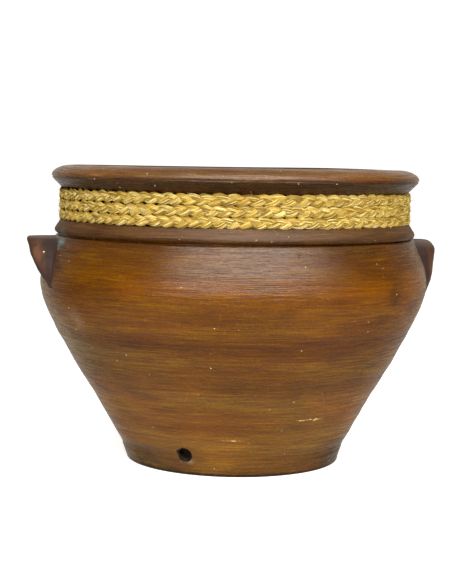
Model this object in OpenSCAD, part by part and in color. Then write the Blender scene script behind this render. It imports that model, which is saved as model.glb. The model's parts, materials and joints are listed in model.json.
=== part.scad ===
// Hand-thrown terracotta planter with two lug handles and a braided rope round its neck.
// Millimetres. The origin is the centre of the base, +Z is up and the handles lie along X.

/* [Pot] */
// Largest radius, at the belly
belly_r = 211; // [205:1:220]
// Height of the belly's widest point
belly_z = 195; // [185:1:205]
// Half the height over which the belly turns
belly_round = 30; // [24:1:36]
// Thickness of the wall, measured level
wall_t = 12; // [9:0.5:14]
// Thickness of the floor
floor_t = 14; // [11:0.5:18]
// Radius of the hollow between the floor and the wall
floor_round = 9; // [5:0.5:14]

/* [Foot] */
// Radius of the base
foot_r = 117; // [112:0.5:120]
// Height of the steep band above the base
foot_h = 22; // [16:1:28]
// How much wider the foot is at the top of its band than at the base
foot_flare = 6.7; // [4:0.1:9]
// Rounding of the base's lower edge
foot_round = 2; // [1:0.5:4]

/* [Ridge] */
// Height of the groove under the ridge
groove_z = 243.5; // [240:0.5:248]
// Height of the groove's open side
groove_w = 2.5; // [1.5:0.5:4]
// Depth of the groove from the nose of the ridge
groove_d = 5.5; // [4:0.5:8]
// How far the ridge's nose stands out from the neck
ridge_out = 12.1; // [10:0.1:15]
// How far the pot's shoulder stays inside the ridge's nose
shoulder_in = 1.2; // [0.6:0.1:3]
// Rounding of the ridge's nose
ridge_round = 4; // [3:0.5:5]
// Height from the groove to the shelf that carries the rope
ridge_h = 17.5; // [15:0.5:21]

/* [Neck and rim] */
// Width of the ledge on which the lowest course rests
shelf_w = 5.7; // [4:0.1:7]
// Radius at the nose of the rolled rim
rim_r = 200; // [180:0.5:215]
// How far the rim's nose stands out from the neck under the rope
rim_out = 16.1; // [14:0.1:19]
// Rounding of the rim's nose
nose_round = 5; // [3:0.5:7]
// Height of the rim's nose above the neck
nose_h = 14.4; // [12:0.1:18]
// Height of the crown above the rim's nose
crown_h = 11; // [8:0.5:14]
// Width of the crown's outer slope
crown_w = 22.5; // [18:0.5:24]
// How much wider the mouth's edge is than the neck inside, on the radius
mouth_flare = 0.6; // [0:0.1:2]
// Height of the crown's inner slope
lip_h = 7; // [5:0.5:9]
// Height above the ridge's shelf at which the neck's straight inside starts
throat_up = 3; // [2:0.5:6]

/* [Drain hole] */
// Radius of the drain hole
drain_r = 6.5; // [4:0.5:9]
// Height of the hole's lowest point above the floor of the pot
drain_step = 3; // [0.5:0.5:5]
// Direction of the hole, counted round from +X
drain_az = -122; // [-155:1:-105]

/* [Handles] */
// How far the handles' tops are below the groove
lug_drop = 1; // [0.5:0.5:5]
// Half the width of a handle, but for its rounded corners
lug_half_w = 27; // [24:1:32]
// Rounding of a handle's upper corners
lug_corner = 14; // [8:1:16]
// Thickness of a handle at its feathered edge
lug_edge = 1; // [0.6:0.1:2]
// How far the left handle stands out at its top
left_reach = 31; // [26:1:36]
// Height of the left handle
left_h = 48; // [44:1:60]
// How soon the left handle narrows downwards: 1 is a straight wedge
left_taper = 1; // [1:0.05:1.5]
// Rounding of the left handle's top edge
left_round = 4; // [2:0.5:6]
// Angle by which the left handle's tip lies nearer to the front than its top
left_lean = 16; // [0:1:18]
// How far the right handle stands out at its top
right_reach = 32; // [28:0.5:37]
// Height of the right handle
right_h = 66; // [58:1:74]
// How soon the right handle narrows downwards: 1 is a straight wedge
right_taper = 1.6; // [1.2:0.05:1.8]
// Rounding of the right handle's top edge
right_round = 12.5; // [6:0.5:14]
// Angle by which the right handle's tip lies nearer to the front than its top
right_lean = 10; // [0:1:16]

/* [Rope] */
// Number of courses of braid round the neck
rope_courses = 3; // [2:1:4]
// Height of one course
rope_h = 10.4; // [8:0.1:12]
// Thickness of the braid, from the neck outwards
rope_t = 8; // [6:0.1:9]
// Gap between one course and the next
rope_gap = 0.55; // [0.5:0.05:1]
// Gap between the rope and the clay
seat_gap = 0.3; // [0.2:0.05:0.5]
// Direction of the middle of the climb from course to course, at the back
climb_az = 75; // [60:1:90]
// Angle over which the rope climbs one course
climb_angle = 60; // [45:15:75]

/* [Rope ends] */
// Length of a binding
binding_l = 11; // [9:0.5:14]
// Wall of a binding
binding_t = 1.1; // [0.8:0.1:1.3]
// Gap between a binding and the braid that it grips
binding_gap = 0.15; // [0.1:0.05:0.25]
// How far the braid stands out of its binding
rope_tail = 1; // [0.5:0.5:3]

/* [Hidden] */
$fn = 96;

shelf_z = groove_z + ridge_h;
rope_pitch = rope_h + rope_gap;
neck_h = rope_courses * rope_pitch - rope_gap + 2 * seat_gap;
neck_top = shelf_z + neck_h;
nose_z = neck_top + nose_h;
pot_h = nose_z + crown_h;
neck_r = rim_r - rim_out;
ridge_r = neck_r + ridge_out;
neck_in_r = neck_r - wall_t;
crown_r = rim_r - crown_w;
lip_r = neck_in_r + mouth_flare;
lip_w = crown_r - lip_r;
drain_z = floor_t + drain_step + drain_r;
drain_l = 2 * wall_t + foot_h;
lug_top = groove_z - lug_drop;

// The thrown curve: two halves of hyperbolas that turn at the belly, straight at their far ends.
// Each slope is what takes the curve from the belly to the foot's band or to the shoulder.
function swing(z) = sqrt(pow(z - belly_z, 2) + pow(belly_round, 2)) - belly_round;
lower_slope = (belly_r - foot_r - foot_flare) / swing(foot_h);
upper_slope = (belly_r - ridge_r + shoulder_in) / swing(groove_z);
function body_r(z) = belly_r - (z < belly_z ? lower_slope : upper_slope) * swing(z);

// Steps along the thrown curve that are closest together where it turns.
function curve_t(z) = let (x = (z - belly_z) / belly_round) ln(x + sqrt(x * x + 1));
function curve_z(t) = belly_z + belly_round * (exp(t) - exp(-t)) / 2;
function body_line(z0, z1, n, inset) = [
    for (i = [0:n])
        let (z = curve_z(curve_t(z0) + (curve_t(z1) - curve_t(z0)) * i / n))
            [body_r(z) - inset, z]
];

function arc(centre, rx, ry, a0, a1, n) = [
    for (i = [0:n])
        let (a = a0 + (a1 - a0) * i / n)
            [centre[0] + rx * cos(a), centre[1] + ry * sin(a)]
];

function reversed(points) = [for (i = [len(points) - 1:-1:0]) points[i]];

foot_line = arc([foot_r - foot_round, foot_round], foot_round, foot_round, -90, 0, 2);

ridge_from = -50;
ridge_to = 32;
ridge_z = groove_z + groove_w + ridge_round;
ridge_line = concat(
    [[ridge_r - groove_d, groove_z + groove_w / 2]],
    arc([ridge_r - ridge_round, ridge_z], ridge_round, ridge_round, ridge_from, ridge_to, 3),
    [[neck_r + shelf_w, shelf_z], [neck_r, shelf_z]]
);

// The rim's underside rises at 45 degrees to the nose.
nose_low = [
    rim_r - nose_round * (1 - cos(45)),
    nose_z - nose_round * sin(45)
];
rim_line = concat(
    [[neck_r, neck_top], [nose_low[0] - (nose_low[1] - neck_top), neck_top]],
    arc([rim_r - nose_round, nose_z], nose_round, nose_round, -45, 0, 3),
    [for (p = arc([crown_r, nose_z], crown_w, crown_h, 0, 90, 6)) if (p[1] > nose_z + 0.1) p]
);

outer_line = concat(
    [[0, 0]],
    foot_line,
    body_line(foot_h, groove_z, 12, 0),
    ridge_line,
    rim_line
);

lip_line = [
    for (p = arc([crown_r, pot_h - lip_h], lip_w, lip_h, 90, 180, 3)) if (p[0] < crown_r - 0.1) p
];

// The hollow between floor and wall touches both, so it starts where the slanting wall allows.
wall_angle = atan(lower_slope);
hollow_r = body_r(floor_t) - wall_t - floor_round * tan(45 - wall_angle / 2);
hollow_line = arc(
    [hollow_r, floor_t + floor_round], floor_round, floor_round, -90, -wall_angle, 3
);
hollow_top = hollow_line[len(hollow_line) - 1][1];

inner_line = concat(
    [[0, floor_t]],
    hollow_line,
    body_line(hollow_top + 2, groove_z, 7, wall_t),
    [[neck_in_r, shelf_z + throat_up], [neck_in_r, neck_top], [lip_r, pot_h - lip_h - 1]]
);

module outer_form() {
    rotate_extrude()
        polygon(concat(outer_line, [[0, pot_h]]));
}

module pot_body() {
    color([0.47, 0.27, 0.13])
        difference() {
            rotate_extrude()
                polygon(concat(outer_line, lip_line, reversed(inner_line)));
            rotate([0, 0, drain_az])
                translate([foot_r - drain_l / 2, 0, drain_z])
                    rotate([0, 90, 0])
                        cylinder(r = drain_r, h = drain_l);
        }
}

// Levels of a handle from its top down: close together round the top edge, then even.
function lug_levels(height, round) = concat(
    [for (a = [0:30:90]) round * (1 - cos(a))],
    [for (i = [1:10]) round + (height - round) * i / 10]
);

// One level outline: round in plan, feathered to the wall, with its back inside the wall.
lug_steps = 16;
lug_bed = 6;
function lug_outline(d, height, reach, taper, round, lean) =
    let (
        z = lug_top - d,
        share = 1 - d / height,
        stand = lug_edge + (reach - lug_edge) * pow(max(share, 0), taper),
        roll = d < round ? round - sqrt(pow(round, 2) - pow(round - d, 2)) : 0,
        off_corner = max(lug_corner - d, 0),
        corner = lug_corner - sqrt(pow(lug_corner, 2) - pow(off_corner, 2)),
        half_w = lug_half_w * sqrt(max(1 - pow(d / height, 2), 0.04)) - corner,
        half_a = asin(half_w / body_r(z)),
        middle = lean * pow(d / height, 0.8)
    )
    concat(
        [
            for (i = [0:lug_steps])
                let (
                    u = 2 * i / lug_steps - 1,
                    rise = pow(cos(90 * u), 0.9),
                    r = body_r(z) + lug_edge + max(stand - lug_edge - roll, 0) * rise
                )
                    [r * cos(middle + half_a * u), r * sin(middle + half_a * u), z]
        ],
        [
            for (u = [1, 0, -1])
                let (r = body_r(z) - lug_bed)
                    [r * cos(middle + half_a * u), r * sin(middle + half_a * u), z]
        ]
    );

function ring_faces(rings, sides) = concat(
    [[for (k = [0:sides - 1]) k]],
    [
        for (i = [0:rings - 2], k = [0:sides - 1])
            let (a = i * sides + k, b = i * sides + (k + 1) % sides)
                [a, a + sides, b]
    ],
    [
        for (i = [0:rings - 2], k = [0:sides - 1])
            let (a = i * sides + k, b = i * sides + (k + 1) % sides)
                [a + sides, b + sides, b]
    ],
    [[for (k = [sides - 1:-1:0]) (rings - 1) * sides + k]]
);

module lug(height, reach, taper, round, lean) {
    levels = lug_levels(height, round);
    outlines = [for (d = levels) lug_outline(d, height, reach, taper, round, lean)];
    difference() {
        polyhedron(
            [for (outline = outlines) for (p = outline) p],
            ring_faces(len(levels), len(outlines[0]))
        );
        outer_form();
    }
}

module left_handle() {
    color([0.38, 0.22, 0.14])
        rotate([0, 0, 180])
            lug(left_h, left_reach, left_taper, left_round, left_lean);
}

module right_handle() {
    color([0.38, 0.22, 0.14])
        lug(right_h, right_reach, right_taper, right_round, -right_lean);
}

// The rope's middle line: level courses, with one climb at the back of each turn.
rope_rings = 24;
rope_step = 360 / rope_rings;
wound_angle = rope_courses * 360 - climb_angle;
rope_r = (neck_r + seat_gap + rope_t / 2) / cos(rope_step / 2);
rope_z = shelf_z + seat_gap + rope_h / 2;
start_az = climb_az + climb_angle / 2;
function eased(x) = x * x * (3 - 2 * x);
function course_at(a) =
    floor(a / 360) + eased(max((a % 360) - (360 - climb_angle), 0) / climb_angle);

// The braid's section, flat where courses meet, and the slimmer one inside a binding.
grip = binding_t + binding_gap;
section = [
    [rope_t / 2, 0], [rope_t / 3, rope_h / 2], [-rope_t / 3, rope_h / 2],
    [-rope_t / 2, 0], [-rope_t / 3, -rope_h / 2], [rope_t / 3, -rope_h / 2]
];
bound_section = inset(section, grip);
function inset(points, d) = [
    for (p = points)
        [p[0] * (1 - 2 * d / rope_t), p[1] * (1 - 2 * d / rope_h)]
];

// A ring of the tube at the winding angle a, moved along its own straight by shift.
function rope_ring(a, shift, outline) =
    let (az = start_az + a, z = rope_z + course_at(a) * rope_pitch)
        [
            for (p = outline)
                [
                    (rope_r + p[0]) * cos(az) - shift * sin(az),
                    (rope_r + p[0]) * sin(az) + shift * cos(az),
                    z + p[1]
                ]
        ];

binding_start = rope_t / 8;
end_run = binding_start + binding_gap + binding_l + rope_tail;
wound = concat(
    [rope_ring(0, -end_run, bound_section), rope_ring(0, -binding_start, bound_section)],
    [for (a = [0:rope_step:wound_angle]) rope_ring(a, 0, section)],
    [
        rope_ring(wound_angle, binding_start, bound_section),
        rope_ring(wound_angle, end_run, bound_section)
    ]
);

// The least distance between points of one course and points of the next.
least_gap = min([
    for (i = [0:len(wound) - 1], j = [i + rope_rings - 4:min(i + rope_rings + 4, len(wound) - 1)])
        for (p = wound[i], q = wound[j]) norm(p - q)
]);
rope_length = 2 * end_run + wound_angle / rope_step * 2 * rope_r * sin(rope_step / 2);
echo(str("Least gap of the rope to itself: ", least_gap, " mm"));
echo(str("Length of the rope: ", rope_length, " mm"));

module braided_rope() {
    color([0.83, 0.69, 0.4])
        polyhedron(
            [for (ring = wound) for (p = ring) p],
            ring_faces(len(wound), len(section))
        );
}

// A binding round an end of the rope, which leaves its last ring in the direction side.
module binding(a, side) {
    color([0.66, 0.5, 0.28])
        translate([0, 0, rope_z + course_at(a) * rope_pitch])
            rotate([0, 0, start_az + a])
                translate([rope_r, side * (binding_start + binding_gap), 0])
                    rotate([90, 0, side > 0 ? 180 : 0])
                        linear_extrude(height = binding_l)
                            difference() {
                                polygon(section);
                                polygon(inset(section, binding_t));
                            }
}

module rope_start_binding() {
    binding(0, -1);
}

module rope_end_binding() {
    binding(wound_angle, 1);
}

pot_body();
left_handle();
right_handle();
braided_rope();
rope_start_binding();
rope_end_binding();
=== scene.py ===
import json
import math
import random

import bmesh
import bpy
from mathutils import Matrix, Vector, noise


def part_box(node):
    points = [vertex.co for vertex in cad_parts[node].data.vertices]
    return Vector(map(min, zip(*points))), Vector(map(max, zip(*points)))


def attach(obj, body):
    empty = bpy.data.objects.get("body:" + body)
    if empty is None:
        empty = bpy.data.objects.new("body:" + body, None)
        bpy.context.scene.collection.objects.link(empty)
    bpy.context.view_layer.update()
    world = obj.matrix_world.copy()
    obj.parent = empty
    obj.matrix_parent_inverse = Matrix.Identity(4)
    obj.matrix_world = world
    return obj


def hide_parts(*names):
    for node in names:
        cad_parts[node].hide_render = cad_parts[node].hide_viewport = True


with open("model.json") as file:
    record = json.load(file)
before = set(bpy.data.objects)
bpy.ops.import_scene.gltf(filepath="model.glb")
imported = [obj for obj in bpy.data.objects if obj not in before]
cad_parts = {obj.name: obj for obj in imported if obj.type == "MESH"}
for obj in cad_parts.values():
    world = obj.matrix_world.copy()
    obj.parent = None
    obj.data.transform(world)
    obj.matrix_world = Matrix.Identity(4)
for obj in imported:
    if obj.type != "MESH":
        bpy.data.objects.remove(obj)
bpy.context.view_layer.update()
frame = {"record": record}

# All sizes are in millimetres, and MM turns them into Blender's metres. In names, R is a radius,
# H a height, W a width, T a thickness, L a length, D a depth and AZ an azimuth in degrees.
MM = 0.001
UP = Vector((0, 0, 1))
random.seed(7)

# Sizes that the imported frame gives
MOUNTS = {mount["name"]: mount for mount in frame["record"]["mounts"]}
POT_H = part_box("pot_body")[1].z / MM
NECK_IN_R = MOUNTS["mouth"]["dims"]["r_mm"]
DRAIN_R = MOUNTS["drain_hole"]["dims"]["r_mm"]
DRAIN_L = MOUNTS["drain_hole"]["dims"]["length_mm"]
DRAIN_POS = Vector(MOUNTS["drain_hole"]["pos_m"]) / MM
DRAIN_AXIS = Vector(MOUNTS["drain_hole"]["axis"])

# The thrown pot, as in the CAD model
WALL_T = 12
FLOOR_T = 14
FLOOR_ROUND = 9
BELLY_R = 211
BELLY_Z = 195
BELLY_ROUND = 30
FOOT_R = 117
FOOT_H = 22
FOOT_TOP_R = 123.7
FOOT_ROUND = 2
NECK_R = NECK_IN_R + WALL_T
RIM_R = NECK_R + 16.1
RIDGE_R = NECK_R + 12.1
SHOULDER_R = RIDGE_R - 1.2
GROOVE_Z = 243.5
GROOVE_W = 2.5
GROOVE_D = 5.5
RIDGE_ROUND = 4
RIDGE_FROM = -50
RIDGE_TO = 32
SHELF_Z = GROOVE_Z + 17.5
SHELF_W = 5.7
CROWN_H = 11
CROWN_W = 22.5
LIP_H = 7
LIP_R = NECK_IN_R + 0.6
NOSE_ROUND = 5
NOSE_Z = POT_H - CROWN_H
NECK_TOP = NOSE_Z - 14.4
THROAT_Z = SHELF_Z + 3
UNDERSIDE_SLOPE = 45
POINT_GAP = 0.05
SPIN_STEPS = 256

# The braid: three courses, with their climb at the back
COURSES = 3
ROPE_H = 10.4
ROPE_T = 8
SEAT_GAP = 0.3
COIL_R = NECK_R + SEAT_GAP + ROPE_T / 2
COIL_Z = SHELF_Z + SEAT_GAP + ROPE_H / 2
COURSE_PITCH = ROPE_H + 0.55
CLIMB_AZ = 75
CLIMB_ANGLE = 60
COIL_START = CLIMB_AZ + CLIMB_ANGLE / 2
COIL_ANGLE = COURSES * 360 - CLIMB_ANGLE
COIL_L = math.radians(COIL_ANGLE) * COIL_R
BINDING_L = 11
BINDING_AT = 1.2

# Camera at the photograph's viewing angle
IMAGE_H = 584
FOCAL_PIXELS = 1440
CAMERA_PLACE = (-241.8, -1563.8, 326)
CAMERA_TURN = -8.5
CAMERA_DIP = 5.2
CAMERA_ROLL = 1.0


def set_camera():
    data = bpy.data.cameras.new("photo_camera")
    data.sensor_fit = "VERTICAL"
    data.sensor_height = 36
    data.lens = data.sensor_height * FOCAL_PIXELS / IMAGE_H
    data.clip_end = 50
    camera = bpy.data.objects.new("photo_camera", data)
    camera.matrix_world = (
        Matrix.Translation(Vector(CAMERA_PLACE) * MM)
        @ Matrix.Rotation(math.radians(CAMERA_TURN), 4, "Z")
        @ Matrix.Rotation(math.radians(90 - CAMERA_DIP), 4, "X")
        @ Matrix.Rotation(math.radians(CAMERA_ROLL), 4, "Z")
    )
    bpy.context.scene.collection.objects.link(camera)
    bpy.context.scene.camera = camera


# Lines and curves of a section, as (radius, height)

def arc(centre, rx, rz, a0, a1, steps):
    angles = [math.radians(a0 + (a1 - a0) * i / steps) for i in range(steps + 1)]
    return [(centre[0] + rx * math.cos(a), centre[1] + rz * math.sin(a)) for a in angles]


def straight(start, end, steps):
    (r0, z0), (r1, z1) = start, end
    return [(r0 + (r1 - r0) * i / steps, z0 + (z1 - z0) * i / steps) for i in range(steps + 1)]


def eased(x):
    x = min(max(x, 0), 1)
    return x * x * (3 - 2 * x)


def bell(offset, width):
    """1 at its middle and soon 0 beyond the width."""
    return math.exp(-(offset / width) ** 2)


def outward_at(azimuth):
    return Vector((math.cos(azimuth), math.sin(azimuth), 0))


# The wall's thrown curve, as in the CAD model: it turns at the belly and runs straight from it

def swing(z):
    return math.sqrt((z - BELLY_Z) ** 2 + BELLY_ROUND ** 2) - BELLY_ROUND


LOWER_SLOPE = (BELLY_R - FOOT_TOP_R) / swing(FOOT_H)
UPPER_SLOPE = (BELLY_R - SHOULDER_R) / swing(GROOVE_Z)


def body_r(z):
    return BELLY_R - (LOWER_SLOPE if z < BELLY_Z else UPPER_SLOPE) * swing(z)


def wall_line(z0, z1, steps, inset):
    heights = [z0 + (z1 - z0) * i / steps for i in range(steps + 1)]
    return [(body_r(z) - inset, z) for z in heights]


def pot_profile():
    """The pot's section, from the middle of its base up the outside and down the inside."""
    slope = math.radians(UNDERSIDE_SLOPE)
    nose_low_r = RIM_R - NOSE_ROUND * (1 - math.cos(slope))
    nose_low_z = NOSE_Z - NOSE_ROUND * math.sin(slope)
    underside_r = nose_low_r - (nose_low_z - NECK_TOP)
    crown_r = RIM_R - CROWN_W
    wall_angle = math.degrees(math.atan(LOWER_SLOPE))
    corner = FLOOR_ROUND * math.tan(math.radians(45 - wall_angle / 2))
    hollow_r = body_r(FLOOR_T) - WALL_T - corner
    hollow_centre = (hollow_r, FLOOR_T + FLOOR_ROUND)
    hollow = arc(hollow_centre, FLOOR_ROUND, FLOOR_ROUND, -90, -wall_angle, 6)
    ridge_centre = (RIDGE_R - RIDGE_ROUND, GROOVE_Z + GROOVE_W + RIDGE_ROUND)
    ridge = arc(ridge_centre, RIDGE_ROUND, RIDGE_ROUND, RIDGE_FROM, RIDGE_TO, 8)
    groove = (RIDGE_R - GROOVE_D, GROOVE_Z + GROOVE_W / 2)
    stretches = [
        straight((0, 0), (FOOT_R - FOOT_ROUND, 0), 8),
        arc((FOOT_R - FOOT_ROUND, FOOT_ROUND), FOOT_ROUND, FOOT_ROUND, -90, 0, 4),
        straight((FOOT_R, FOOT_ROUND), (FOOT_TOP_R, FOOT_H), 12),
        wall_line(FOOT_H, GROOVE_Z, 138, 0),
        straight((SHOULDER_R, GROOVE_Z), groove, 3),
        straight(groove, ridge[0], 3),
        ridge,
        straight(ridge[-1], (NECK_R + SHELF_W, SHELF_Z), 6),
        straight((NECK_R + SHELF_W, SHELF_Z), (NECK_R, SHELF_Z), 3),
        straight((NECK_R, SHELF_Z), (NECK_R, NECK_TOP), 6),
        straight((NECK_R, NECK_TOP), (underside_r, NECK_TOP), 2),
        straight((underside_r, NECK_TOP), (nose_low_r, nose_low_z), 8),
        arc((RIM_R - NOSE_ROUND, NOSE_Z), NOSE_ROUND, NOSE_ROUND, -UNDERSIDE_SLOPE, 0, 8),
        arc((crown_r, NOSE_Z), CROWN_W, CROWN_H, 0, 90, 20),
        arc((crown_r, POT_H - LIP_H), crown_r - LIP_R, LIP_H, 90, 180, 8),
        straight((LIP_R, POT_H - LIP_H), (NECK_IN_R, NECK_TOP), 4),
        straight((NECK_IN_R, NECK_TOP), (NECK_IN_R, THROAT_Z), 5),
        straight((NECK_IN_R, THROAT_Z), (body_r(GROOVE_Z) - WALL_T, GROOVE_Z), 3),
        wall_line(GROOVE_Z, hollow[-1][1] + 2, 36, WALL_T),
        hollow[::-1],
        straight((hollow_r, FLOOR_T), (0, FLOOR_T), 8),
    ]
    points = []
    for stretch in stretches:
        for point in stretch:
            if not points or math.dist(point, points[-1]) > POINT_GAP:
                points.append(point)
    return points


# Handmade irregularity of the outside, as a move along the surface's normal

RING_CLIMB = 3.5
BROAD_RING_H = 11
BROAD_RING_D = 0.5
FINE_RING_H = 4
FINE_RING_D = 0.16
OUT_OF_ROUND = 1.1
OUT_OF_ROUND_H = 120
WAIST_Z = 68
WAIST_H = 22
WAIST_D = 1.1
FOOT_LINE_Z = 17.5
FOOT_LINE_H = 1.3
FOOT_LINE_D = 1.0
FOOT_LINE_AZ = -8
RIM_LINE_DROP = 1.6
RIM_LINE_H = 0.7
RIM_LINE_D = 0.9
RELIEF_FADE = 6
RIM_SMOOTHED = 0.6
AXIS_DRIFT = (
    (0, 1.6), (30, 1.4), (60, 0.8), (110, 0), (150, -1.2), (178, -1.1), (210, -0.4), (240, 0),
)
DRIFT_WAY = outward_at(math.radians(CAMERA_TURN))


def throwing_rings(place):
    """Ridges that the potter's fingers left: they climb slowly round the pot and come and go."""
    azimuth = math.atan2(place.y, place.x)
    x, y = math.cos(azimuth), math.sin(azimuth)
    climb = place.z + RING_CLIMB * azimuth / math.pi
    broad = noise.noise(Vector((0.6 * x, 0.6 * y, climb / BROAD_RING_H)))
    fine = noise.noise(Vector((x, y + 5, climb / FINE_RING_H)))
    return BROAD_RING_D * broad + FINE_RING_D * fine


def out_of_round(place):
    azimuth = math.atan2(place.y, place.x)
    spot = Vector((math.cos(azimuth), math.sin(azimuth) - 9, place.z / OUT_OF_ROUND_H))
    return OUT_OF_ROUND * noise.noise(spot)


def off_centre(z):
    """How far the wall's axis wandered sideways on the wheel, as the outline shows it."""
    for (z0, move0), (z1, move1) in zip(AXIS_DRIFT, AXIS_DRIFT[1:]):
        if z <= z1:
            return DRIFT_WAY * (move0 + (move1 - move0) * eased((z - z0) / (z1 - z0)))
    return DRIFT_WAY * 0


def waist(place):
    """A shallow waist above the foot, where the curve was drawn in a little more."""
    return -WAIST_D * bell(place.z - WAIST_Z, WAIST_H)


def foot_line(place):
    """The line a tool left above the foot, deep at the sides and worn away by the drain hole."""
    azimuth = math.atan2(place.y, place.x)
    depth = 0.5 + 0.5 * math.cos(2 * (azimuth - math.radians(FOOT_LINE_AZ)))
    return -FOOT_LINE_D * depth * bell(place.z - FOOT_LINE_Z, FOOT_LINE_H)


def rim_line(place):
    """The thin line that a tool cut round the rim, just under its nose."""
    if place.z <= NECK_TOP:
        return 0
    return -RIM_LINE_D * bell(place.z - NOSE_Z + RIM_LINE_DROP, RIM_LINE_H)


def relief(place):
    on_foot = eased(place.z / RELIEF_FADE)
    on_rim = eased((place.z - NECK_TOP) / RELIEF_FADE)
    rings = throwing_rings(place) * (1 - RIM_SMOOTHED * on_rim)
    move = on_foot * (out_of_round(place) + rings)
    return move + (waist(place) + foot_line(place)) + rim_line(place)


# Meshes and pieces

def finish_piece(name, bm, materials, slot, *replaced):
    """Turns a bmesh into a smooth piece of the part that rides on its one body."""
    mesh = bpy.data.meshes.new(name)
    bm.to_mesh(mesh)
    bm.free()
    for material in materials:
        mesh.materials.append(material)
    mesh.shade_smooth()
    piece = bpy.data.objects.new(name, mesh)
    bpy.context.scene.collection.objects.link(piece)
    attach(piece, "root")
    if replaced:
        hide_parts(*replaced)
    return piece


def mapped_grid(bm, across, along, place, closed):
    """A grid whose corners go where place(u, v) says. A closed grid is welded to a tube in u."""
    grid = bmesh.ops.create_grid(
        bm, x_segments=across, y_segments=along, size=1, calc_uvs=True
    )["verts"]
    near_edge = 0.1 / across
    seam = []
    for vert in grid:
        u = (vert.co.x + 1) / 2
        v = (vert.co.y + 1) / 2
        if closed and (u < near_edge or u > 1 - near_edge):
            seam.append(vert)
            u = 0
        vert.co = place(u, v) * MM
    if closed:
        bmesh.ops.remove_doubles(bm, verts=seam, dist=1e-7)


def close_ends(bm, corners=0):
    """Fills a tube's open ends and turns every face outwards."""
    ends = [edge for edge in bm.edges if edge.is_boundary]
    bmesh.ops.holes_fill(bm, edges=ends, sides=corners)
    bmesh.ops.recalc_face_normals(bm, faces=bm.faces)


def ring_on_path(middle, way, side_way, radius, u):
    """A point at u round a thin tube that runs that way through the middle."""
    other_way = way.cross(side_way)
    angle = 2 * math.pi * u
    return middle + side_way * (radius * math.cos(angle)) + other_way * (radius * math.sin(angle))


# The drain hole: pushed through by hand, a little out of round, with a softened edge outside

HOLE_SIDES = 40
HOLE_LUMPS = 0.16
HOLE_WIDE = 1.05
HOLE_HIGH = 0.86
HOLE_FACE = FOOT_TOP_R - DRAIN_POS.xy.length
# Depth along the hole's axis, how far the ring slants with the wall, and its share of the radius
HOLE_RINGS = (
    (-DRAIN_L, 0, 0.97), (HOLE_FACE - 5, 0.7, 1), (HOLE_FACE - 1.6, 1, 1.02),
    (HOLE_FACE - 0.5, 1, 1.1), (HOLE_FACE + 1.5, 1, 1.45), (HOLE_FACE + 6, 1, 1.6),
)


def drain_cutter(hole_clay):
    bm = bmesh.new()
    ring = bmesh.ops.create_circle(bm, segments=HOLE_SIDES, radius=1)["verts"]
    edges = list(bm.edges)
    side = UP.cross(DRAIN_AXIS)
    angles = [math.atan2(vert.co.y, vert.co.x) for vert in ring]
    lumps = [
        1 + HOLE_LUMPS * noise.noise(Vector((math.cos(a), math.sin(a), 4)) * 1.6) for a in angles
    ]

    def place_ring(verts, depth, slant, share):
        for vert, a, lump in zip(verts, angles, lumps):
            out = DRAIN_R * share * lump
            rise = HOLE_HIGH * out * math.sin(a)
            inward = DRAIN_AXIS * (depth + LOWER_SLOPE * slant * rise) + off_centre(DRAIN_POS.z)
            sideways = side * (HOLE_WIDE * out * math.cos(a))
            vert.co = (DRAIN_POS + inward + sideways + Vector((0, 0, rise))) * MM

    place_ring(ring, *HOLE_RINGS[0])
    bmesh.ops.edgeloop_fill(bm, edges=edges)
    for station in HOLE_RINGS[1:]:
        grown = bmesh.ops.extrude_edge_only(bm, edges=edges)["geom"]
        verts = [item for item in grown if isinstance(item, bmesh.types.BMVert)]
        edges = [item for item in grown if isinstance(item, bmesh.types.BMEdge)]
        place_ring(verts, *station)
    bmesh.ops.edgeloop_fill(bm, edges=edges)
    bmesh.ops.recalc_face_normals(bm, faces=bm.faces)
    mesh = bpy.data.meshes.new("drain_cutter")
    bm.to_mesh(mesh)
    bm.free()
    mesh.materials.append(hole_clay)
    cutter = bpy.data.objects.new("drain_cutter", mesh)
    bpy.context.scene.collection.objects.link(cutter)
    return cutter


def pierce(pot, cutter):
    """Cuts the hole and keeps the result as the pot's own mesh."""
    cut = pot.modifiers.new("drain hole", "BOOLEAN")
    cut.object = cutter
    cut.solver = "EXACT"
    cut.material_mode = "TRANSFER"
    evaluated = pot.evaluated_get(bpy.context.evaluated_depsgraph_get())
    pierced = bpy.data.meshes.new_from_object(evaluated)
    pot.modifiers.clear()
    pot.data = pierced
    bpy.data.objects.remove(cutter)


INSIDE_CLAY = 1
UNDERSIDE_CLAY = 2


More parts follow.
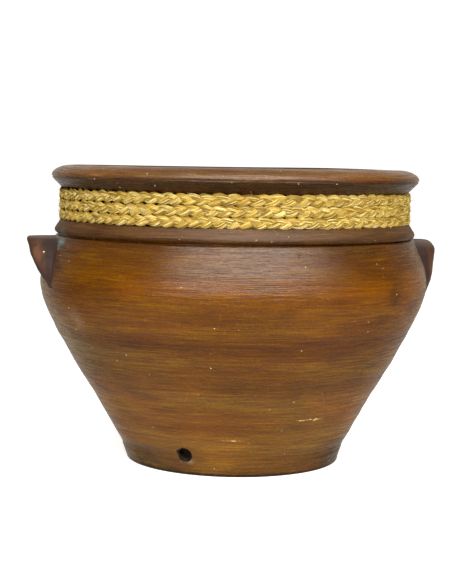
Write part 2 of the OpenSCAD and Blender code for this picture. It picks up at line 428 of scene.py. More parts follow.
def make_pot(outside, inside, underside, hole_clay):
    bm = bmesh.new()
    verts = [bm.verts.new((r * MM, 0, z * MM)) for r, z in pot_profile()]
    edges = [bm.edges.new(pair) for pair in zip(verts, verts[1:])]
    bmesh.ops.spin(
        bm, geom=verts + edges, cent=(0, 0, 0), axis=(0, 0, 1), dvec=(0, 0, 0),
        angle=2 * math.pi, steps=SPIN_STEPS, use_merge=True, use_duplicate=False,
    )
    bmesh.ops.remove_doubles(bm, verts=bm.verts, dist=1e-6)
    bmesh.ops.recalc_face_normals(bm, faces=bm.faces)
    bm.normal_update()
    neck_middle = NECK_R - WALL_T / 2
    # Faces inward of this radius take the inner clay, so the crown's inner slope is painted dark:
    # painted shade.
    stain_ends = min(neck_middle, RIM_R - CROWN_W - 0.5)

    def wall_middle(z, above_groove):
        return body_r(z) - WALL_T / 2 if z < GROOVE_Z else above_groove

    for vert in bm.verts:
        place = vert.co / MM
        radius = math.hypot(place.x, place.y)
        on_wall = radius > wall_middle(place.z, neck_middle) and place.z > 0.01
        if on_wall or place.z > NOSE_Z:
            vert.co += vert.normal * relief(place) * MM
        vert.co += off_centre(place.z) * MM
    for face in bm.faces:
        middle = face.calc_center_median() / MM
        if middle.z < 0.2:
            face.material_index = UNDERSIDE_CLAY
        elif math.hypot(middle.x, middle.y) < wall_middle(middle.z, stain_ends):
            face.material_index = INSIDE_CLAY
    clays = [outside, inside, underside]
    pot = finish_piece("thrown_pot", bm, clays, "pot_terracotta", "pot_body")
    pierce(pot, drain_cutter(hole_clay))


# The handles: lumps of clay smeared on to the shoulder, flat and slightly dished on top

LUG_TOP = GROOVE_Z - 1
LUG_HALF_W = 27
LUG_CORNER = 14
LUG_EDGE = 1
LUG_BED = 6
LUG_DISH = 2.4
LUG_LUMPS = 0.8
BROAD_LUMP = 16
FINE_LUMP = 6
PLAN_POWER = 1.9
LEAN_POWER = 0.8
SIDE_FEATHER = 0.13
TIP_FEATHER = 0.03
LUG_ACROSS = 72
LUG_DOWN = 96
GRID_EDGE = 0.004
# Shares of the grid: how far it laps over the lug's sides and tip, its flat top and its top edge
SIDE_LAP = 2.5
TIP_LAP = 1.08
TOP_SHARE = 0.26
EDGE_SHARE = 0.4


def softened(x, blend):
    return (x + math.sqrt(x * x + blend * blend)) / 2


def make_handle(name, turn, height, reach, taper, rounding, lean, material, replaced):
    """u runs round the pot and v from the back of the flat top, over its edge, to the tip."""

    def depth_below_top(v):
        if v < TOP_SHARE:
            return 0
        if v < EDGE_SHARE:
            past = (v - TOP_SHARE) / (EDGE_SHARE - TOP_SHARE)
            return rounding * (1 - math.cos(math.pi / 2 * past))
        return rounding + (height * TIP_LAP - rounding) * (v - EDGE_SHARE) / (1 - EDGE_SHARE)

    def place(u, v):
        across = SIDE_LAP * (u - 0.5)
        spread = softened(1 - abs(across) ** PLAN_POWER, SIDE_FEATHER)
        down = depth_below_top(v)
        z = LUG_TOP - down
        share = softened(1 - down / height, TIP_FEATHER)
        stand = LUG_EDGE + (reach - LUG_EDGE) * share ** taper
        roll = 0
        if down < rounding:
            roll = rounding - math.sqrt(rounding ** 2 - (rounding - down) ** 2)
        out = max(stand - roll, 0) * spread
        off_corner = max(LUG_CORNER - down, 0)
        corner = LUG_CORNER - math.sqrt(LUG_CORNER ** 2 - off_corner ** 2)
        half_w = LUG_HALF_W * math.sqrt(max(1 - (down / height) ** 2, 0.05)) - corner
        azimuth = math.radians(turn + lean * (down / height) ** LEAN_POWER)
        azimuth += math.asin(half_w / body_r(z)) * across
        if v < TOP_SHARE:
            inward = 1 - v / TOP_SHARE
            hollow = math.sin(math.pi * min(inward * 0.9 + 0.1, 1))
            z -= LUG_DISH * hollow * min(spread * 1.4, 1)
            out = (out + LUG_BED) * (1 - inward) - LUG_BED
        if v > 1 - GRID_EDGE or min(u, 1 - u) < GRID_EDGE:
            out = -LUG_BED
        outward = outward_at(azimuth)
        spot = outward * (body_r(z) + out)
        spot.z = z
        if out > 0:
            lump = noise.noise(spot / BROAD_LUMP + Vector((turn, 0, 0)))
            lump += 0.4 * noise.noise(spot / FINE_LUMP)
            lump *= LUG_LUMPS
            spot += (outward + Vector((0, 0, 0.2))) * lump * min(out / 6, 1)
        spot += outward * out_of_round(spot)
        return spot + off_centre(z)

    bm = bmesh.new()
    bm.loops.layers.uv.new("handle")
    mapped_grid(bm, LUG_ACROSS, LUG_DOWN, place, closed=False)
    rim = [edge for edge in bm.edges if edge.is_boundary]
    bmesh.ops.edgeloop_fill(bm, edges=rim)
    bmesh.ops.recalc_face_normals(bm, faces=bm.faces)
    finish_piece(name, bm, [material], "handle_terracotta", replaced)


# The braid: three strands over and under each other, each a bundle of straw blades

STRANDS = 3
STRAND_HALF_W = 3.5
STRAND_HALF_T = 1.75
STRAND_RING = 1.7
PLAIT_PERIOD = 41
SWAY = 3.0
DIVE = 1.5
STRAIGHTNESS = 0.88
GRIPPED = 0.66
FIBRES = 15
FIBRE_RIDGE = 1.04
FIBRE_VALLEY = 0.8
FIBRE_TWIST = 95
TAIL_L = BINDING_AT + BINDING_L + 7
STRAND_L = COIL_L + 2 * TAIL_L
# How the plaiter's hand wandered: a seed, about how far apart the turns are, and their amount
BEAT = (1, 140, 0.9)
STRAND_BEAT = (20, 40, 0.3)
STRAND_REACH = (30, 35, 0.16)
BRAID_HEIGHT = (50, 60, 0.35)
STRAND_SWELL = (60, 18, 0.12)
STRAND_TWIST = (70, 50, 0.8)
BLADE_STAND = (100, 15, 0.12)
SEEDS_A_STRAND = 20


def wander(s, habit, which=0):
    seed, length, amount = habit
    seed += which
    return amount * (noise.noise(Vector((s / length, seed * 7.31, seed * 3.17))) * 1.6)


def coil_frame(s):
    """Middle, outward and onward directions of the braid at s millimetres along it."""
    inside = min(max(s, 0), COIL_L)
    angle = math.degrees(inside / COIL_R)
    azimuth = math.radians(COIL_START + angle)
    turns = math.floor(angle / 360)
    past = angle % 360 - (360 - CLIMB_ANGLE)
    rise = turns + eased(max(past, 0) / CLIMB_ANGLE)
    outward = outward_at(azimuth)
    onward = Vector((-math.sin(azimuth), math.cos(azimuth), 0))
    middle = outward * COIL_R + Vector((0, 0, COIL_Z + rise * COURSE_PITCH))
    return middle + onward * (s - inside), outward, onward


def tightness(s):
    """1 along the braid, and less where a binding grips its ends."""
    inner = min(s, COIL_L - s)
    return GRIPPED + (1 - GRIPPED) * eased((inner + 3) / 12)


def strand_middle(s, strand):
    """Middle of a strand, its outward direction, and 1 where it dives to -1 where it rides up."""
    middle, outward, _ = coil_frame(s)
    phase = 2 * math.pi * (s / PLAIT_PERIOD + strand / STRANDS)
    phase += wander(s, BEAT) + wander(s, STRAND_BEAT, strand)
    grip = tightness(s)
    dive = math.sin(2 * phase)
    swing_share = math.asin(STRAIGHTNESS * math.sin(phase)) / math.asin(STRAIGHTNESS)
    across = SWAY * grip * (1 + wander(s, STRAND_REACH, strand)) * swing_share
    rise = across + wander(s, BRAID_HEIGHT) * grip
    return middle + outward * (-DIVE * grip * dive) + Vector((0, 0, rise)), outward, dive


def make_strand(strand, material):
    rings = round(STRAND_L / STRAND_RING)
    sides = 2 * FIBRES
    ring_places = {}

    def ring_frame(v):
        if v not in ring_places:
            s = -TAIL_L + STRAND_L * v
            spot, outward, dive = strand_middle(s, strand)
            along = (strand_middle(s + 0.5, strand)[0] - spot).normalized()
            width_way = along.cross(outward).normalized()
            thick_way = width_way.cross(along)
            end = eased(min(v, 1 - v) * STRAND_L / 4)
            grip = tightness(s)
            swell = 1 + wander(s, STRAND_SWELL, strand)
            half_w = STRAND_HALF_W * grip * (0.94 - 0.1 * dive) * swell * (0.3 + 0.7 * end)
            half_t = STRAND_HALF_T * grip * (0.3 + 0.7 * end)
            twist = 2 * math.pi * s / FIBRE_TWIST + wander(s, STRAND_TWIST, strand)
            ring_places[v] = (spot, width_way * half_w, thick_way * half_t, twist, s)
        return ring_places[v]

    def place(u, v):
        spot, wide, thick, twist, s = ring_frame(v)
        angle = 2 * math.pi * u + twist
        corner = round(u * sides)
        size = FIBRE_RIDGE if corner % 2 == 0 else FIBRE_VALLEY
        size += wander(s, BLADE_STAND, strand * SEEDS_A_STRAND + corner % sides // 2)
        return spot + wide * (math.cos(angle) * size) + thick * (math.sin(angle) * size)

    bm = bmesh.new()
    bm.loops.layers.uv.new("lay")
    mapped_grid(bm, sides, rings, place, closed=True)
    close_ends(bm)
    name = f"straw_strand_{strand + 1}"
    if strand == 0:
        finish_piece(name, bm, [material], "braid_straw", "braided_rope")
    else:
        finish_piece(name, bm, [material], "braid_straw")


# Loose straws: how many, their least and greatest length, and half their thickness
LOOSE_STRAWS = ((420, 3, 8, 0.2), (46, 8, 15, 0.26))
LOOSE_SIDES = 3
LOOSE_STEPS = 5
LOOSE_ROOT_OUT = 2.6
LOOSE_ROOT_UP = 3.6
LOOSE_BEND = 0.35
LOOSE_TAPER = 0.6


def make_hairs(material):
    """Loose ends of straw that stand out of the plait, most of them short."""
    bm = bmesh.new()
    bm.loops.layers.uv.new("lay")
    hairs = [
        (random.uniform(0, COIL_L), random.uniform(shortest, longest), half)
        for count, shortest, longest, half in LOOSE_STRAWS
        for _ in range(count)
    ]
    for s, length, half in hairs:
        middle, outward, onward = coil_frame(s)
        side = random.uniform(-1, 1)
        root = middle + outward * (LOOSE_ROOT_OUT - abs(side))
        root += Vector((0, 0, side * LOOSE_ROOT_UP))
        heading = onward * random.choice((-1, 1, 1)) * random.uniform(0.5, 1)
        lift = outward * random.uniform(0.1, 0.7)
        climb = Vector((0, 0, (side + random.uniform(-0.5, 0.5)) * 0.8))
        bend = Vector([random.uniform(-1, 1) for _ in range(3)]) * LOOSE_BEND
        way = (heading + lift + climb).normalized()
        side_way = way.cross(Vector((0.3, 0.2, 1))).normalized()

        def place(u, v):
            spot = root + way * (length * v) + bend * (length * v * v)
            return ring_on_path(spot, way, side_way, half * (1 - LOOSE_TAPER * v), u)

        mapped_grid(bm, LOOSE_SIDES, LOOSE_STEPS, place, closed=True)
    close_ends(bm, corners=4)
    finish_piece("loose_straws", bm, [material], "braid_straw")


TWINE_R = 0.62
TWINE_TURNS = 8
TWINE_SIDES = 9
TWINE_STEPS = 28
TWINE_SQUARED = 0.85
TWINE_GRIP_T = 0.15
TWINE_GRIP_H = 0.25
TWINE_RIDGES = 3
TWINE_RIDGE_D = 0.08
TWINE_LAY = 160


def make_binding(name, s_start, side, material, replaced):
    """A twine wound round an end of the braid, turn against turn."""
    middle, outward, onward = coil_frame(s_start)
    run = onward * side
    half_t = ROPE_T / 2 - TWINE_R - TWINE_GRIP_T
    half_h = ROPE_H / 2 - TWINE_R - TWINE_GRIP_H
    length = BINDING_L - 2 * TWINE_R

    def squared(x):
        return math.copysign(abs(x) ** TWINE_SQUARED, x)

    def helix(t):
        angle = 2 * math.pi * TWINE_TURNS * t
        out = squared(math.cos(angle)) * half_t
        rise = squared(math.sin(angle)) * half_h
        return middle + run * (BINDING_AT + TWINE_R + length * t) + outward * out + UP * rise

    def place(u, v):
        along = (helix(v + 0.001) - helix(v - 0.001)).normalized()
        side_way = along.cross(run).normalized()
        ridges = math.cos(2 * math.pi * u * TWINE_RIDGES + v * TWINE_LAY)
        return ring_on_path(helix(v), along, side_way, TWINE_R * (1 + TWINE_RIDGE_D * ridges), u)

    bm = bmesh.new()
    bm.loops.layers.uv.new("lay")
    mapped_grid(bm, TWINE_SIDES, TWINE_TURNS * TWINE_STEPS, place, closed=True)
    close_ends(bm)
    finish_piece(name, bm, [material], "binding_twine", replaced)


# Materials

def paint(text):
    """An sRGB hex colour as linear RGBA."""
    channels = [int(text[i:i + 2], 16) / 255 for i in (1, 3, 5)]
    linear = [c / 12.92 if c <= 0.04045 else ((c + 0.055) / 1.055) ** 2.4 for c in channels]
    return (*linear, 1)


def add(tree, kind, links=None, stops=(), **settings):
    """Adds a node with its settings, a ramp's stops, and a link or value for each socket named.

    A socket goes by its name, its identifier or its number, and a colour may be sRGB hex.
    """
    node = tree.nodes.new("ShaderNode" + kind)
    for key, value in settings.items():
        setattr(node, key, value)
    for index, (position, tone) in enumerate(stops):
        if index >= len(node.color_ramp.elements):
            node.color_ramp.elements.new(1)
        stop = node.color_ramp.elements[index]
        stop.position = position
        stop.color = paint(tone) if isinstance(tone, str) else (tone, tone, tone, 1)
    inputs = list(node.inputs)
    sockets = {socket.name: socket for socket in inputs[::-1]}
    sockets.update({socket.identifier: socket for socket in inputs})
    sockets.update(enumerate(inputs))
    for key, value in (links or {}).items():
        if isinstance(value, bpy.types.NodeSocket):
            tree.links.new(value, sockets[key])
        else:
            sockets[key].default_value = paint(value) if isinstance(value, str) else value
    return node


def new_material(name):
    material = bpy.data.materials.new(name)
    material.use_nodes = True
    material.node_tree.nodes.clear()
    return material, material.node_tree


def laid_over(tree, colour, tone, pattern, *stops):
    """Lays a tone over the colour, as strongly as the stops say for each value of a pattern."""
    share = add(tree, "ValToRGB", {"Fac": pattern}, stops).outputs["Color"]
    links = {"Factor_Float": share, "A_Color": colour, "B_Color": tone}
    return add(tree, "Mix", links, data_type="RGBA").outputs[2]


def grained(tree, coords, size, detail=3.0, rough=0.55, warp=0.0):
    """A cloudy pattern whose grain has those real sizes in millimetres along x, y and z."""
    scale = tuple(1 / (s * MM) for s in size)
    links = {"Vector": coords, "Vector_001": scale}
    vector = add(tree, "VectorMath", links, operation="MULTIPLY").outputs[0]
    links = {"Vector": vector, "Scale": 1.0, "Detail": detail, "Roughness": rough}
    return add(tree, "TexNoise", {**links, "Distortion": warp}).outputs["Fac"]


def gathered(tree, middle, *shares):
    """A value that sways about the middle with each pattern, by that pattern's weight."""
    total = middle - sum(weight for pattern, weight in shares) / 2
    for pattern, weight in shares:
        links = {0: pattern, 1: weight, 2: total}
        total = add(tree, "Math", links, operation="MULTIPLY_ADD").outputs[0]
    return total


def near(tree, coords, spot, radius, squash=(1, 1, 1)):
    """1 at a spot on the piece and 0 beyond the radius, in millimetres."""
    links = {"Vector": coords, "Vector_001": tuple(c * MM for c in spot)}
    away = add(tree, "VectorMath", links, operation="SUBTRACT").outputs[0]
    links = {"Vector": away, "Vector_001": squash}
    flat = add(tree, "VectorMath", links, operation="MULTIPLY").outputs[0]
    length = add(tree, "VectorMath", {"Vector": flat}, operation="LENGTH").outputs["Value"]
    links = {"Value": length, "From Max": radius * MM, "To Min": 1.0, "To Max": 0.0}
    return add(tree, "MapRange", links, interpolation_type="SMOOTHSTEP").outputs["Result"]


def wall_spot(azimuth, z):
    """A point on the pot's outside at an azimuth in degrees and a height in millimetres."""
    return (*(outward_at(math.radians(azimuth)) * body_r(z)).xy, z)


def speckled(tree, coords, colour, dark, pale, spacing, largest, rarity):
    """Grains of lime and sand that the fire turned pale: one in a cell of that spacing at most."""
    cells = add(tree, "TexVoronoi", {"Vector": coords, "Scale": 1 / (spacing * MM)})
    pick = add(tree, "SeparateColor", {"Color": cells.outputs["Color"]}).outputs["Red"]
    links = {"Value": pick, "From Min": rarity, "To Min": 0.0, "To Max": largest / spacing}
    size = add(tree, "MapRange", links).outputs["Result"]
    links = {0: cells.outputs["Distance"], 1: size}
    inside = add(tree, "Math", links, operation="LESS_THAN").outputs[0]
    links = {"Factor_Float": pick, "A_Color": dark, "B_Color": pale}
    tone = add(tree, "Mix", links, data_type="RGBA").outputs[2]
    links = {"Factor_Float": inside, "A_Color": colour, "B_Color": tone}
    return add(tree, "Mix", links, data_type="RGBA").outputs[2]


def brushed_coords(tree):
    """Object coordinates, plain and with heights that wander, so that marks aren't dead level."""
    coords = add(tree, "TexCoord").outputs["Object"]
    wander = grained(tree, coords, (150, 150, 90), detail=1.0)
    links = {"Value": wander, "To Min": -1.6 * MM, "To Max": 1.6 * MM}
    offset = add(tree, "MapRange", links).outputs["Result"]
    lift = add(tree, "CombineXYZ", {"Z": offset}).outputs["Vector"]
    links = {"Vector": coords, "Vector_001": lift}
    return coords, add(tree, "VectorMath", links, operation="ADD").outputs[0]


def surfaced(tree, colour, roughness, relief_height, strength, depth, shine):
    """The end of each finish: a relief so many millimetres deep, its colour and its shine."""
    links = {"Height": relief_height, "Strength": strength, "Distance": depth * MM}
    bump = add(tree, "Bump", links).outputs["Normal"]
    links = {"Base Color": colour, "Roughness": roughness, "Normal": bump, **shine}
    shader = add(tree, "BsdfPrincipled", links).outputs["BSDF"]
    add(tree, "OutputMaterial", {"Surface": shader})


# Fired clay shines a little warm, and how sharply is up to each clay's roughness
CLAY_SHINE = {"IOR": 1.5, "Specular IOR Level": 0.62, "Specular Tint": (1, 0.94, 0.86, 1)}
STRAW_SHINE = {"IOR": 1.5, "Specular IOR Level": 0.35}
TWINE_SHINE = {"Specular IOR Level": 0.25}

# The stain's colour by height, as a share of the pot's: thinly brushed, and where it dulled
# From 0.9 to 0.955, on the neck and under the rim, both are near black: painted shade.
STAIN_WITH_RIM_SHADE = (
    (0.0, "#6a4308"), (0.12, "#7a4c08"), (0.2, "#784904"), (0.35, "#643c02"), (0.52, "#6b3f00"),
    (0.58, "#6b3f00"), (0.63, "#764400"), (0.67, "#663b00"), (0.74, "#5a3400"),
    (0.775, "#4a2a0a"), (0.795, "#56340e"), (0.83, "#482e10"), (0.9, "#361200"),
    (0.945, "#2e1202"), (0.955, "#341c08"), (0.972, "#68401c"),
)
DULLED_STAIN_WITH_RIM_SHADE = (
    (0.0, "#5e3c08"), (0.12, "#6a460c"), (0.35, "#5a3c06"), (0.6, "#603800"), (0.7, "#543000"),
    (0.775, "#40260c"), (0.795, "#523410"), (0.9, "#361200"), (0.945, "#2e1402"),
    (0.955, "#34200c"), (0.972, "#684a2c"),
)
# Where a brush ran twice round the pot, by height
TWICE_BRUSHED = (
    (0.14, 0.0), (0.162, 0.08), (0.19, 0.0), (0.27, 0.0), (0.31, 0.08), (0.35, 0.0),
    (0.41, 0.0), (0.454, 0.26), (0.49, 0.0),
)
# Patches on the pot: colour, share, azimuth, height, radius in millimetres and squash
CLAY_PATCHES = (
    ("#382006", 0.85, -47.4, 191, 20, (1, 1, 1)),
    # Painted shade in the corner beside the left lug's root.
    ("#38241a", 0.85, -161, 211, 26, (0.9, 0.9, 0.8)),
    ("#5c8084", 0.85, -166, 240, 17, (1, 1, 1)),
    ("#8d6a54", 0.5, -150, 163, 18, (1, 1, 1)),
    # A painted reflection that pales the left side of the belly.
    ("#7e6a48", 0.5, -166, 142, 64, (0.7, 0.7, 1)),
    ("#54382c", 0.7, -148, 23, 36, (0.6, 0.6, 4)),
    # Painted shade that darkens the foot's two sides, away from the front light.
    ("#2c2412", 0.9, -152, 6, 64, (0.6, 0.6, 2)),
    ("#2c200e", 0.95, -32, 12, 58, (0.7, 0.7, 1.6)),
    ("#6e3410", 0.6, -54, 7, 22, (0.8, 0.8, 3)),
    ("#86745c", 0.7, -119, 15.5, 8, (1, 1, 1.6)),
    ("#6a3418", 0.6, -124, 11, 12, (0.8, 0.8, 2)),
)


def stained_terracotta():
    """Earthenware with a translucent brown stain brushed round it on the wheel, then waxed.

    The eye sees amber where the stain is thin, umber where it pooled, and level brush marks.
    """
    material, tree = new_material("brushed_stained_terracotta")
    coords, wavy = brushed_coords(tree)
    height = add(tree, "SeparateXYZ", {"Vector": coords}).outputs["Z"]
    links = {"Value": height, "From Max": POT_H * MM}
    level = add(tree, "MapRange", links).outputs["Result"]
    # Both ramps carry the painted shade under the rim, above the braid.
    stain = add(tree, "ValToRGB", {"Fac": level}, STAIN_WITH_RIM_SHADE).outputs["Color"]
    dull_stain_with_rim_shade = add(tree, "ValToRGB", {"Fac": level}, DULLED_STAIN_WITH_RIM_SHADE).outputs["Color"]
    dulled = grained(tree, wavy, (110, 110, 50), warp=0.4)
    colour = laid_over(tree, stain, dull_stain_with_rim_shade, dulled, (0.42, 0.0), (0.62, 0.75))

    pooled = grained(tree, wavy, (130, 130, 30))
    broad = grained(tree, wavy, (220, 220, 11))
    medium = grained(tree, wavy, (90, 90, 3), detail=4.0, rough=0.6)
    fine = grained(tree, coords, (34, 34, 1.1), rough=0.65)
    grain = grained(tree, coords, (1.5, 1.5, 1.1), detail=2.0)
    thickness = gathered(
        tree, 1.04, (pooled, 0.5), (broad, 0.32), (medium, 0.36), (fine, 0.85), (grain, 0.7)
    )
    twice = add(tree, "ValToRGB", {"Fac": level}, TWICE_BRUSHED).outputs["Color"]
    thickness = add(tree, "Math", {0: thickness, 1: twice}, operation="ADD").outputs[0]
    links = {"Color": colour, "Gamma": thickness}
    colour = add(tree, "Gamma", links).outputs["Color"]
    firing = grained(tree, wavy, (140, 140, 8), detail=4.0, rough=0.65)
    stops = ((0.36, "#fff5ea"), (0.5, "#fbf9f2"), (0.64, "#f8fcf4"))
    tints = add(tree, "ValToRGB", {"Fac": firing}, stops).outputs["Color"]
    links = {"Factor_Float": 1.0, "A_Color": colour, "B_Color": tints}
    colour = add(tree, "Mix", links, data_type="RGBA", blend_type="MULTIPLY").outputs[2]

    edge_chips = grained(tree, coords, (7, 7, 7))
    links = {"Value": height, "From Min": 1.2 * MM, "From Max": 5.2 * MM}
    foot_edge = add(tree, "MapRange", {**links, "To Min": 1.0, "To Max": 0.0}).outputs["Result"]
    links = {0: foot_edge, 1: edge_chips}
    ragged = add(tree, "Math", links, operation="MULTIPLY").outputs[0]
    colour = laid_over(tree, colour, "#241a12", ragged, (0.18, 0.0), (0.34, 0.9))
    cloudy = grained(tree, coords, (16, 16, 5), detail=4.0)
    stops = ((0.35, 0.3), (0.6, 1.0))
    broken = add(tree, "ValToRGB", {"Fac": cloudy}, stops).outputs["Color"]
    # Besides the stain's own blotches, the patches hold painted shade and a painted reflection, as
    # marked.
    for tone, share, azimuth, z, radius, squash in CLAY_PATCHES:
        patch = near(tree, coords, wall_spot(azimuth, z), radius, squash)
        for weight in (broken, share):
            patch = add(tree, "Math", {0: patch, 1: weight}, operation="MULTIPLY").outputs[0]
        links = {"Factor_Float": patch, "A_Color": colour, "B_Color": tone}
        colour = add(tree, "Mix", links, data_type="RGBA").outputs[2]
    colour = speckled(tree, coords, colour, "#a87c48", "#dcc496", 8, 0.6, 0.2)

    scuff_band = near(tree, coords, wall_spot(-65.5, 63), 34, (0.6, 0.6, 7))
    scuff_low = near(tree, coords, wall_spot(-98.6, 42), 22, (0.7, 0.7, 7))
    links = {0: scuff_band, 1: scuff_low}
    scuffs = add(tree, "Math", links, operation="MAXIMUM").outputs[0]
    grit = grained(tree, coords, (5, 5, 2), detail=4.0, rough=0.7)
    chipped = add(tree, "Math", {0: scuffs, 1: grit}, operation="MULTIPLY").outputs[0]
    colour = laid_over(tree, colour, "#d8b468", chipped, (0.42, 0.0), (0.5, 0.8))

    relief_height = gathered(tree, 0.5, (medium, -0.6), (fine, -0.6), (grain, -0.25))
    roughness = add(tree, "ValToRGB", {"Fac": fine}, ((0.4, 0.17), (0.6, 0.34))).outputs["Color"]
    stops = ((0.765, 0.0), (0.785, 0.5), (0.82, 0.5), (0.83, 0.0))
    ridge_wear = add(tree, "ValToRGB", {"Fac": level}, stops).outputs["Color"]
    links = {0: roughness, 1: ridge_wear}
    roughness = add(tree, "Math", links, operation="MAXIMUM").outputs[0]
    surfaced(tree, colour, roughness, relief_height, 1.0, 0.8, CLAY_SHINE)
    return material


def bare_terracotta(name, tone, dust, patch_size=(45, 45, 30)):
    """Unstained, unpolished clay as it left the wheel: matt, sandy and a little dusty."""
    material, tree = new_material(name)
    coords, wavy = brushed_coords(tree)
    patches = grained(tree, coords, patch_size, detail=4.0)
    colour = laid_over(tree, tone, dust, patches, (0.4, 0.0), (0.7, 0.7))
    rings = grained(tree, wavy, (300, 300, 5))
    colour = laid_over(tree, colour, "#2a180e", rings, (0.35, 0.4), (0.5, 0.0))
    grain = grained(tree, coords, (1.4, 1.4, 1.4))
    relief_height = gathered(tree, 0.5, (rings, 0.5), (grain, 0.5))
    surfaced(tree, colour, 0.85, relief_height, 0.7, 0.35, CLAY_SHINE)
    return material


def handled_terracotta():
    """The same stained clay where thumbs smeared it: redder, with painted highlights and painted
    shade.
    """
    material, tree = new_material("thumbed_stained_terracotta")
    coords = add(tree, "TexCoord").outputs["Object"]
    patches = grained(tree, coords, (26, 26, 34), warp=0.5)
    colour = laid_over(tree, "#482c1a", "#5e3c2a", patches, (0.38, 0.0), (0.64, 1.0))
    smears = grained(tree, coords, (9, 9, 40))
    colour = laid_over(tree, colour, "#341f14", smears, (0.36, 0.6), (0.54, 0.0))
    # A painted highlight on the left lug's front flank.
    flank_highlight = near(tree, coords, (-212, -30, 218), 16, (0.8, 0.8, 0.9))
    colour = laid_over(tree, colour, "#9c664a", flank_highlight, (0.0, 0.0), (1.0, 0.8))
    uv = add(tree, "UVMap", uv_map="handle").outputs["UV"]
    across, down, _ = add(tree, "SeparateXYZ", {"Vector": uv}).outputs
    off_middle = add(tree, "Math", {0: across, 1: 0.5}, operation="SUBTRACT").outputs[0]
    off_middle = add(tree, "Math", {0: off_middle}, operation="ABSOLUTE").outputs[0]
    # Painted shade in the crease where each lug's sides meet the wall.
    joint_crease_shade = ((0.22, 0.0), (0.32, 0.85), (0.44, 0.8), (0.5, 0.4))
    colour = laid_over(tree, colour, "#2e2020", off_middle, *joint_crease_shade)
    # Painted shade along each lug's outer ridge, which faces away from the light.
    colour = laid_over(tree, colour, "#2c2214", off_middle, (0.06, 0.9), (0.15, 0.0))
    # A painted highlight along each lug's rounded top edge.
    top_edge_highlight = ((0.1, 0.0), (0.2, 0.8), (0.3, 0.8), (0.37, 0.0))
    colour = laid_over(tree, colour, "#665850", down, *top_edge_highlight)
    colour = laid_over(tree, colour, "#3a2a24", down, (0.6, 0.0), (0.85, 0.7))
    colour = speckled(tree, coords, colour, "#e0c08c", "#e0c08c", 13, 1.17, 0.6)
    grain = grained(tree, coords, (2, 2, 2))
    relief_height = gathered(tree, 0.5, (smears, 0.65), (grain, 0.35))
    surfaced(tree, colour, 0.45, relief_height, 0.6, 0.35, CLAY_SHINE)
    return material


# Tones change along a blade and from one blade to the next, tints spread wider, and a blade has
# fine lines. The lengths are real, and the lines are as coarse as they need to be to show.
BLADE_TONE_L = 42
BLADE_TONES = 1.7
BLADE_TINTS = 1.3
TINT_SPREAD = (0.55, 0.7, 1.0)
BLADE_LINE_L = 9
BLADE_LINES = 46.0
TONE_SEED = 11.3
LINE_SEED = 3.7
STRAW = (
    (0.36, "#846818"), (0.43, "#b89432"), (0.5, "#dab44a"), (0.56, "#ebca64"), (0.63, "#f6e08e"),
)


def plaited_straw(name, strand):
    """Dried esparto: narrow stiff blades, golden, with green and rusty ones among them.

    The eye sees blades of their own tones, with painted shade between them and fine lines along
    them.
    """
    material, tree = new_material(name)
    uv = add(tree, "UVMap", uv_map="lay").outputs["UV"]
    across, onward, _ = add(tree, "SeparateXYZ", {"Vector": uv}).outputs
    links = {0: across, 1: float(FIBRES)}
    blade = add(tree, "Math", links, operation="MULTIPLY").outputs[0]
    which = add(tree, "Math", {0: blade, 1: 0.5}, operation="ADD").outputs[0]
    which = add(tree, "Math", {0: which}, operation="FLOOR").outputs[0]
    links = {0: onward, 1: STRAND_L / BLADE_TONE_L}
    tones_along = add(tree, "Math", links, operation="MULTIPLY").outputs[0]
    links = {"X": tones_along, "Y": which, "Z": TONE_SEED * strand}
    spot = add(tree, "CombineXYZ", links).outputs["Vector"]
    links = {"Vector": spot, "Scale": BLADE_TONES, "Detail": 1.0}
    tone = add(tree, "TexNoise", links).outputs["Fac"]
    colour = add(tree, "ValToRGB", {"Fac": tone}, STRAW).outputs["Color"]
    links = {"Vector": spot, "Vector_001": TINT_SPREAD}
    tint_spot = add(tree, "VectorMath", links, operation="MULTIPLY").outputs[0]
    links = {"Vector": tint_spot, "Scale": BLADE_TINTS, "Detail": 2.0}
    tint = add(tree, "TexNoise", links).outputs["Fac"]
    colour = laid_over(tree, colour, "#c9b648", tint, (0.58, 0.0), (0.72, 0.55))
    colour = laid_over(tree, colour, "#c98f3c", tint, (0.28, 0.6), (0.42, 0.0))
    # Each blade darkens towards its edges: painted shade in the grooves between blades.
    off_blade = add(tree, "Math", {0: blade, 1: 0.5}, operation="PINGPONG").outputs[0]
    colour = laid_over(tree, colour, "#5c4210", off_blade, (0.24, 0.0), (0.47, 0.9))
    links = {0: onward, 1: STRAND_L / BLADE_LINE_L}
    lines_along = add(tree, "Math", links, operation="MULTIPLY").outputs[0]
    links = {0: across, 1: BLADE_LINES}
    lines_across = add(tree, "Math", links, operation="MULTIPLY").outputs[0]
    links = {"X": lines_along, "Y": lines_across, "Z": LINE_SEED * strand}
    line_spot = add(tree, "CombineXYZ", links).outputs["Vector"]
    links = {"Vector": line_spot, "Scale": 1.0, "Detail": 2.0}
    lines = add(tree, "TexNoise", links).outputs["Fac"]
    colour = laid_over(tree, colour, "#7c5a1c", lines, (0.38, 0.8), (0.5, 0.0))
    surfaced(tree, colour, 0.55, lines, 0.8, 0.3, STRAW_SHINE)
    return material


TWINE_PLIES = 110.0


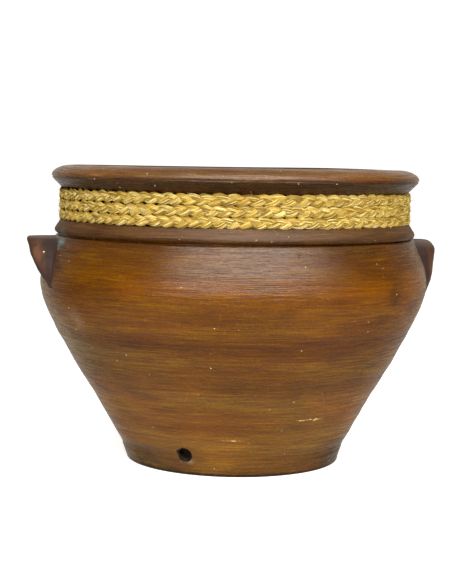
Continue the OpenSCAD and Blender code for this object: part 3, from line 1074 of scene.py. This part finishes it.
def jute_twine():
    """Two-ply twine, brown and dull, whose plies show as slanting lines of painted shade."""
    material, tree = new_material("wound_jute_twine")
    uv = add(tree, "UVMap", uv_map="lay").outputs["UV"]
    across, onward, _ = add(tree, "SeparateXYZ", {"Vector": uv}).outputs
    links = {0: onward, 1: TWINE_PLIES, 2: across}
    slant = add(tree, "Math", links, operation="MULTIPLY_ADD").outputs[0]
    plies = add(tree, "Math", {0: slant, 1: 0.5}, operation="PINGPONG").outputs[0]
    # The dark stop where the plies meet is painted shade in the grooves between them.
    stops = ((0.02, "#6a4c26"), (0.18, "#a98652"), (0.5, "#c7a670"))
    colour = add(tree, "ValToRGB", {"Fac": plies}, stops).outputs["Color"]
    surfaced(tree, colour, 0.8, plies, 0.8, 0.4, TWINE_SHINE)
    return material


# Floor and light

def pale_floor():
    """White paper, lit so brightly that it burns out as the photograph's ground does."""
    material, tree = new_material("white_paper")
    links = {"Base Color": (0.86, 0.86, 0.86, 1), "Roughness": 0.9, "Specular IOR Level": 0.1}
    links.update({"Emission Color": (1, 1, 1, 1), "Emission Strength": 0.68})
    shader = add(tree, "BsdfPrincipled", links).outputs["BSDF"]
    add(tree, "OutputMaterial", {"Surface": shader})
    bm = bmesh.new()
    bmesh.ops.create_grid(bm, x_segments=1, y_segments=1, size=12)
    mesh = bpy.data.meshes.new("floor")
    bm.to_mesh(mesh)
    bm.free()
    mesh.materials.append(material)
    floor = bpy.data.objects.new("floor", mesh)
    bpy.context.scene.collection.objects.link(floor)
    floor.visible_glossy = False


def aim_lamp(name, data, azimuth, elevation, distance):
    """Hangs a lamp in that direction from the pot's belly, and points it there."""
    lamp = bpy.data.objects.new(name, data)
    tilt = math.radians(elevation)
    away = outward_at(math.radians(azimuth)) * math.cos(tilt) + UP * math.sin(tilt)
    lamp.location = Vector((0, 0, BELLY_Z * MM)) + away * distance
    lamp.rotation_euler = away.to_track_quat("Z", "Y").to_euler()
    bpy.context.scene.collection.objects.link(lamp)
    return lamp


def hang_lamps():
    """A wide scrim overhead and one oblong softbox in front, which makes the long highlight."""
    scrim = bpy.data.lights.new("overhead_scrim", "SUN")
    scrim.angle = math.radians(100)
    scrim.energy = 0.9
    scrim.cycles.use_multiple_importance_sampling = False
    aim_lamp("overhead_scrim", scrim, -98, 78, 3).visible_glossy = False
    key = bpy.data.lights.new("key_softbox", "AREA")
    key.shape = "RECTANGLE"
    key.size = 3.2
    key.size_y = 1.4
    key.energy = 82
    aim_lamp("key_softbox", key, -90, 41, 2.2)


ROOM_TINT = (1, 0.94, 0.82, 1)


def white_room():
    """White paper behind and below the pot, a dim room in front of it and a pale ceiling."""
    world = bpy.data.worlds.new("studio")
    world.use_nodes = True
    tree = world.node_tree
    tree.nodes.clear()
    direction = add(tree, "TexCoord").outputs["Generated"]
    turn = math.radians(CAMERA_TURN)
    links = {"Vector": direction, "Vector_001": (-math.sin(turn), math.cos(turn), 0)}
    behind = add(tree, "VectorMath", links, operation="DOT_PRODUCT").outputs["Value"]
    upward = add(tree, "SeparateXYZ", {"Vector": direction}).outputs["Z"]
    downward = add(tree, "Math", {0: upward, 1: -1.0}, operation="MULTIPLY").outputs[0]
    stops = ((0.35, 0.01), (0.7, 0.3), (1.0, 0.6))
    paper = add(tree, "ValToRGB", {"Fac": behind}, stops).outputs["Color"]
    ceiling = add(tree, "ValToRGB", {"Fac": upward}, ((0.35, 0.0), (0.8, 0.25))).outputs["Color"]
    table = add(tree, "ValToRGB", {"Fac": downward}, ((0.25, 0.0), (0.75, 1.0))).outputs["Color"]
    links = {"Value": behind, "From Min": -0.8, "From Max": 0.15, "To Min": 0.12, "To Max": 0.4}
    table_share = add(tree, "MapRange", links).outputs["Result"]
    glow = table
    layers = (
        ("MULTIPLY", table_share), ("LIGHTEN", paper), ("LIGHTEN", ceiling), ("MULTIPLY", ROOM_TINT)
    )
    for blend, light in layers:
        links = {"Factor_Float": 1.0, "A_Color": glow, "B_Color": light}
        glow = add(tree, "Mix", links, data_type="RGBA", blend_type=blend).outputs[2]
    room = add(tree, "Background", {"Color": glow, "Strength": 1.0}).outputs[0]
    clean = add(tree, "Background", {"Color": (1, 1, 1, 1), "Strength": 1.1}).outputs[0]
    seen = add(tree, "LightPath").outputs["Is Camera Ray"]
    links = {"Fac": seen, "Shader": room, "Shader_001": clean}
    add(tree, "OutputWorld", {"Surface": add(tree, "MixShader", links).outputs[0]})
    bpy.context.scene.world = world
    bpy.context.scene.view_settings.view_transform = "Standard"


set_camera()
white_room()
hang_lamps()
pale_floor()

make_pot(
    stained_terracotta(),
    # The inner clay is darkened as painted shade inside the pot.
    bare_terracotta("shade_darkened_inner_terracotta", "#3c2616", "#4c3322"),
    bare_terracotta("scraped_base_terracotta", "#a2623a", "#b98a62"),
    # The drain hole's walls are near black: painted shade in the hole.
    bare_terracotta("shade_darkened_hole_terracotta", "#0c0604", "#3c3022", (5, 5, 3)),
)
handle_clay = handled_terracotta()
make_handle("left_lug", 180, 48, 31, 1, 4, 16, handle_clay, "left_handle")
make_handle("right_lug", 0, 66, 32, 1.6, 12.5, -10, handle_clay, "right_handle")
for index in range(STRANDS):
    make_strand(index, plaited_straw(f"plaited_straw_{index + 1}", index))
make_hairs(plaited_straw("loose_straw", 7))
twine = jute_twine()
make_binding("lower_end_whipping", 0, -1, twine, "rope_start_binding")
make_binding("upper_end_whipping", COIL_L, 1, twine, "rope_end_binding")
